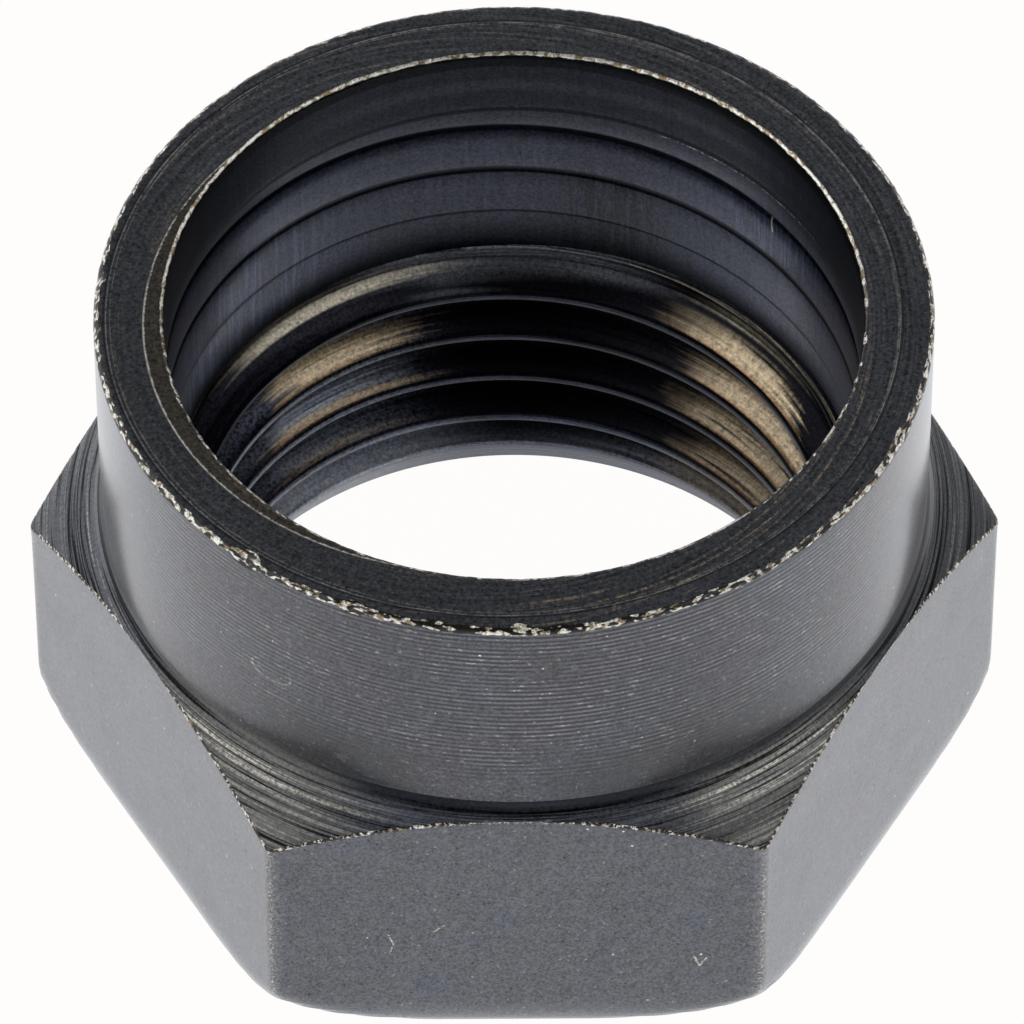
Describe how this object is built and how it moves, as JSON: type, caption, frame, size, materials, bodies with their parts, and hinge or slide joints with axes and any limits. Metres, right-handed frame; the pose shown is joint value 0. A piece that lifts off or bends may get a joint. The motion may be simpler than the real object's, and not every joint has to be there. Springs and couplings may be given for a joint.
{
  "type": "spindle nut",
  "caption": "Hexagon spindle nut with a round collar, a turned shoulder and a counterbored thread, in black finished steel.",
  "frame": {"origin": "centre of the hexagon's end face, on the thread's axis", "axes": "+Z along the thread's axis towards the collar, +X through a corner of the hexagon, Y square to a pair of flats"},
  "size_m": [0.031, 0.027, 0.0194],
  "materials": {
    "black_steel": "black oxide over turned and forged steel, matt, with bare metal at the nicked edges"
  },
  "bodies": {
    "root": {"spindle_nut": "black_steel"}
  },
  "joints": []
}
